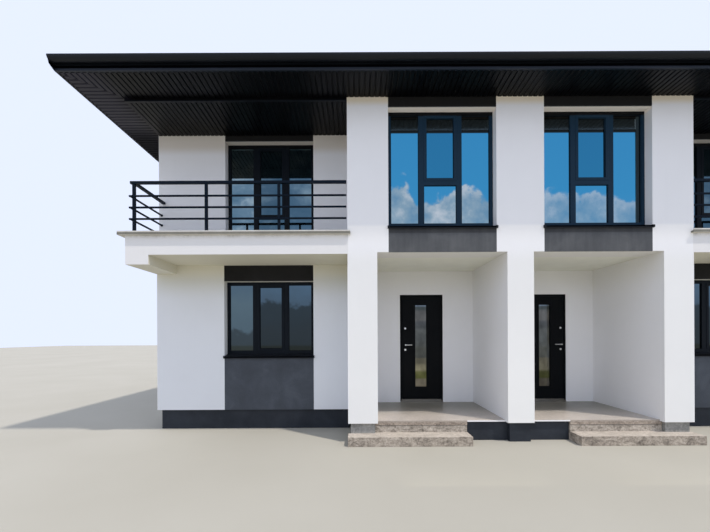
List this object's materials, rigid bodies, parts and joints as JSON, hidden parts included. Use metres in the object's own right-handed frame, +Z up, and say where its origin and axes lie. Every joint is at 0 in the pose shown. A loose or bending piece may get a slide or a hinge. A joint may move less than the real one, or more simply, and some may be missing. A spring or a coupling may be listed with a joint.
{
  "type": "duplex house",
  "caption": "Modern duplex house with a low hip roof, deep black eaves, recessed entrance porches, balconies over the bays and hinged entrance doors.",
  "frame": {"origin": "on the ground, in the middle of the house's outline in plan", "axes": "+Z up, the street front faces -Y, +X to the right seen from the street"},
  "size_m": [13.262, 10.782, 7.201],
  "materials": {
    "white_render": "fine mineral render, painted white",
    "dark_render": "dark grey textured render",
    "slate_plinth": "dark painted plinth",
    "concrete": "bare concrete",
    "step_stone": "rough stone-look cladding",
    "porch_tile": "matt porcelain tile",
    "balcony_coping": "pale coping",
    "soffit_board": "black ribbed soffit board, satin",
    "eave_metal": "anthracite coated steel",
    "roof_metal": "black coated metal tile",
    "frame_anthracite": "anthracite foil",
    "window_glass": "reflective double glazing",
    "sill_metal": "anthracite coated steel",
    "railing_paint": "anthracite paint, satin",
    "door_paint": "black powder coat",
    "door_glass": "reflective door glass",
    "door_steel": "brushed",
    "attic_timber": "raw timber",
    "floor_concrete": "screed"
  },
  "bodies": {
    "house": {"foundation_slab": "slate_plinth", "bay_plinths": "slate_plinth", "pier_bases": "concrete", "porch_bases": "slate_plinth", "porch_floors": "porch_tile", "entrance_steps": "step_stone", "outer_piers": "white_render", "party_wall": "white_render", "door_walls": "white_render", "bay_walls_lower": "white_render", "bay_walls_upper": "white_render", "upper_front_wall": "white_render", "balcony_return_walls": "white_render", "side_walls": "white_render", "back_wall": "white_render", "front_dark_panels": "dark_render", "side_and_back_dark_panels": "dark_render", "front_window_frames": "frame_anthracite", "balcony_door_frames": "frame_anthracite", "side_and_back_window_frames": "frame_anthracite", "front_glazing": "window_glass", "side_and_back_glazing": "window_glass", "window_sills": "sill_metal", "upper_floor_slabs": "floor_concrete", "balcony_slabs": "white_render", "balcony_edge_beams": "white_render", "balcony_floors": "balcony_coping", "front_railings": "railing_paint", "side_railings": "railing_paint", "eave_soffits": "soffit_board", "fascias": "eave_metal", "balcony_ceilings": "soffit_board", "attic_floor": "attic_timber", "roof_slope_front": "roof_metal", "roof_slope_back": "roof_metal", "roof_slope_left": "roof_metal", "roof_slope_right": "roof_metal", "gutters": "eave_metal", "door_frames": "door_paint", "door_thresholds": "door_steel"},
    "left_door": {"door_leaf_left": "door_paint", "door_pane_left": "door_glass"},
    "left_lever": {"door_lever_left": "door_steel"},
    "right_door": {"door_leaf_right": "door_paint", "door_pane_right": "door_glass"},
    "right_lever": {"door_lever_right": "door_steel"}
  },
  "joints": [
    {"name": "left_door_hinge", "type": "hinge", "parent": "house", "child": "left_door", "pos_m": [-0.83, -3.059, 1.4], "axis": [0, 0, 1], "range_deg": [0, 95]},
    {"name": "left_lever_turn", "type": "hinge", "parent": "left_door", "child": "left_lever", "pos_m": [-1.545, -3.045, 1.451], "axis": [0, 1, 0], "range_deg": [0, 40], "stiffness_Nm_per_rad": 1.5, "springref_deg": -20.05},
    {"name": "right_door_hinge", "type": "hinge", "parent": "house", "child": "right_door", "pos_m": [0.83, -3.059, 1.4], "axis": [0, 0, -1], "range_deg": [0, 95]},
    {"name": "right_lever_turn", "type": "hinge", "parent": "right_door", "child": "right_lever", "pos_m": [1.545, -3.045, 1.451], "axis": [0, -1, 0], "range_deg": [0, 40], "stiffness_Nm_per_rad": 1.5, "springref_deg": -20.05}
  ]
}
